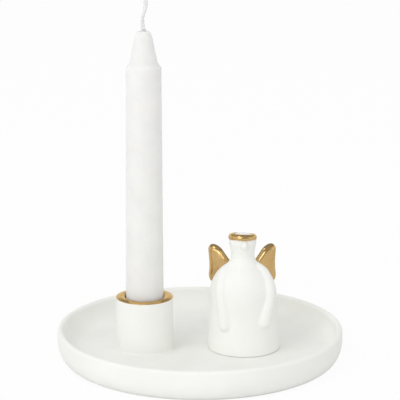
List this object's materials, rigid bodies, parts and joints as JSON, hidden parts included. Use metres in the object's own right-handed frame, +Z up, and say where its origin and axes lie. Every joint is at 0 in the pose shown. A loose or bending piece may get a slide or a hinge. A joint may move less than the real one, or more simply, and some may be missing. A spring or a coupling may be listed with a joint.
{
  "type": "candle holder",
  "caption": "Round white ceramic tray with a gold-rimmed cup that holds a stick candle, and a loose angel figurine with gilded wings and halo.",
  "frame": {"origin": "centre of the tray's underside, on the plane it stands on", "axes": "+Z up, -Y the front that the angel faces, +X to the right of someone who looks at its face"},
  "size_m": [0.1692, 0.1692, 0.2116],
  "materials": {
    "white_ceramic": "matt white bisque",
    "gold_lustre": "glossy gold lustre on ceramic",
    "candle_wax": "smooth satin wax",
    "wick_cotton": "waxed braided cotton"
  },
  "bodies": {
    "holder": {"tray": "white_ceramic", "candle_cup": "white_ceramic", "cup_gold_rim": "gold_lustre"},
    "candle": {"candle_wax": "candle_wax", "candle_wick": "wick_cotton"},
    "angel": {"angel_body": "white_ceramic", "angel_nose": "white_ceramic", "halo_ring": "gold_lustre", "arm_right": "white_ceramic", "arm_left": "white_ceramic", "wing_right": "gold_lustre", "wing_left": "gold_lustre"}
  },
  "joints": [
    {"name": "candle_lift", "type": "slide", "parent": "holder", "child": "candle", "axis": [0, 0, 1], "range_m": [0, 0.04]},
    {"name": "angel_lift", "type": "slide", "parent": "holder", "child": "angel", "axis": [0, 0, 1], "range_m": [0, 0.04]}
  ]
}
